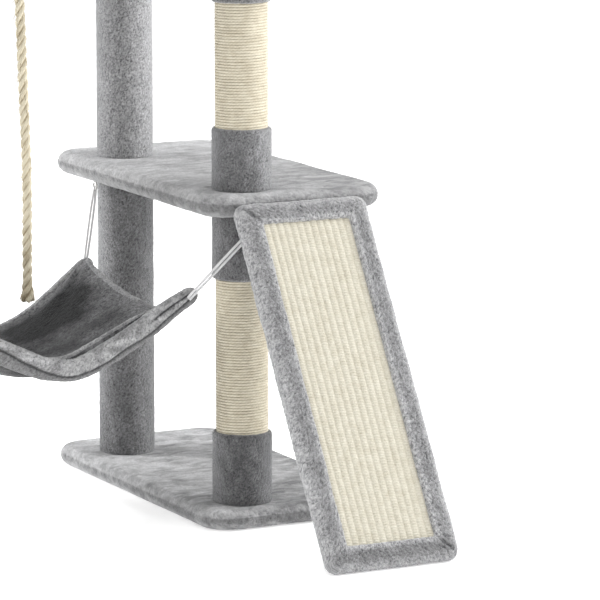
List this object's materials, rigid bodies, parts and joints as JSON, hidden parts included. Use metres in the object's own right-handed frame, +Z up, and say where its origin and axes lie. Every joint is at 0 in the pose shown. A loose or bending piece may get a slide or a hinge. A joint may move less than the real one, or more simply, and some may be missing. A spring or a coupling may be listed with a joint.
{
  "type": "cat tree",
  "caption": "Two-tower cat tree with plush platforms, plush and sisal posts, a slung plush hammock, a dangling sisal rope and a leaning scratching ramp",
  "frame": {"origin": "on the floor, midway between the two towers and midway between the foot of the ramp and the back edges", "axes": "+Z up, +Y from the ramp towards the back posts, +X towards the tower with the ramp"},
  "size_m": [1.048, 0.9201, 0.9341],
  "materials": {
    "plush_light": "short light grey plush, brushed both ways",
    "plush_dark": "short dark grey plush",
    "hammock_plush": "soft mid grey plush",
    "sisal": "natural three-ply sisal cord",
    "sisal_mat": "ribbed woven sisal",
    "rope": "natural three-strand sisal rope",
    "cord": "white braided polyester",
    "board": "raw chipboard",
    "plug": "raw plywood",
    "tube": "wound brown cardboard",
    "steel": "zinc plated steel"
  },
  "bodies": {
    "root": {"base_board_left": "board", "base_board_right": "board", "base_bolts": "steel", "base_cover_left": "plush_light", "base_cover_right": "plush_light", "base_washers": "steel", "hammock_eyes_left": "steel", "hammock_eyes_right": "steel", "joining_studs_left": "steel", "joining_studs_right": "steel", "platform_board_left": "board", "platform_board_right": "board", "platform_cover_left": "plush_light", "platform_cover_right": "plush_light", "plush_wrap_lower_left": "plush_light", "plush_wrap_lower_right": "plush_light", "plush_wrap_upper_left": "plush_light", "plush_wrap_upper_right": "plush_light", "ramp_board": "board", "ramp_brackets": "steel", "ramp_cover": "plush_light", "ramp_mat": "sisal_mat", "ramp_screws": "steel", "rope_eye": "steel", "sisal_wrap_lower_left": "sisal", "sisal_wrap_lower_right": "sisal", "sisal_wrap_upper_left": "sisal", "sisal_wrap_upper_right": "sisal", "sleeve_bottom_lower_left": "plush_dark", "sleeve_bottom_lower_right": "plush_dark", "sleeve_bottom_upper_left": "plush_dark", "sleeve_bottom_upper_right": "plush_dark", "sleeve_top_lower_left": "plush_dark", "sleeve_top_lower_right": "plush_dark", "sleeve_top_upper_left": "plush_dark", "sleeve_top_upper_right": "plush_dark", "top_board": "board", "top_bolts": "steel", "top_cover": "plush_light", "top_washers": "steel", "tube_back_lower_left": "tube", "tube_back_lower_right": "tube", "tube_back_upper_left": "tube", "tube_back_upper_right": "tube", "tube_front_lower_left": "tube", "tube_front_lower_right": "tube", "tube_front_upper_left": "tube", "tube_front_upper_right": "tube", "tube_plugs_left": "plug", "tube_plugs_right": "plug"},
    "hammock": {"hammock_bed": "hammock_plush", "hammock_cord_back_left": "cord", "hammock_cord_back_right": "cord", "hammock_cord_front_left": "cord", "hammock_cord_front_right": "cord"},
    "rope_link": {"rope_link": "steel"},
    "rope": {"rope_cap": "steel", "dangling_rope": "rope"}
  },
  "joints": [
    {"name": "hammock_sway", "type": "slide", "parent": "root", "child": "hammock", "axis": [0, 1, 0], "range_m": [-0.025, 0.025], "stiffness_N_per_m": 60, "deforming": ["hammock_cord_back_left", "hammock_cord_back_right", "hammock_cord_front_left", "hammock_cord_front_right"]},
    {"name": "rope_swing_front", "type": "hinge", "parent": "root", "child": "rope_link", "pos_m": [0.022, 0.096, 0.881], "axis": [1, 0, 0], "range_deg": [-18, 18]},
    {"name": "rope_swing_side", "type": "hinge", "parent": "rope_link", "child": "rope", "pos_m": [0.022, 0.096, 0.8689], "axis": [0, 1, 0], "range_deg": [-18, 18]}
  ]
}
